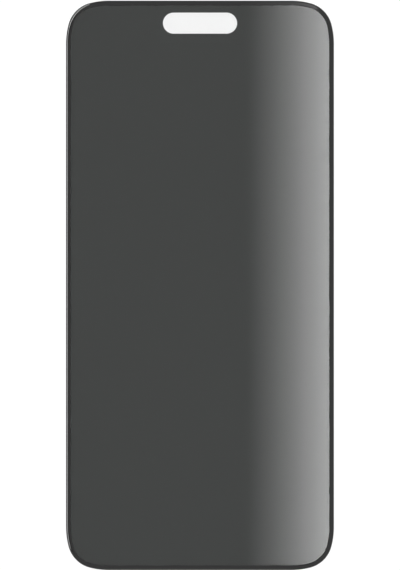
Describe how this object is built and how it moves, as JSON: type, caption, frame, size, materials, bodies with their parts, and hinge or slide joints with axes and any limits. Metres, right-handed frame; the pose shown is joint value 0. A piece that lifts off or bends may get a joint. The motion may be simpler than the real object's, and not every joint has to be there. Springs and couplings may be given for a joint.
{
  "type": "phone privacy screen protector",
  "caption": "Thin flat privacy screen protector for a large phone: clear glass with a rounded edge and a black border, and a dark louvre film behind it with a pill-shaped window.",
  "frame": {"origin": "middle of the underside, the sticky face that goes onto the phone's screen", "axes": "+Z out of the touched face, +Y along the long side towards the short side with the window, +X to the right as the user sees it"},
  "size_m": [0.0744, 0.1582, 0.0005],
  "materials": {
    "clear_glass": "polished",
    "black_print": "satin",
    "dark_film": "smooth"
  },
  "bodies": {
    "root": {"cover_glass": "clear_glass", "black_border": "black_print", "privacy_film": "dark_film"}
  },
  "joints": []
}
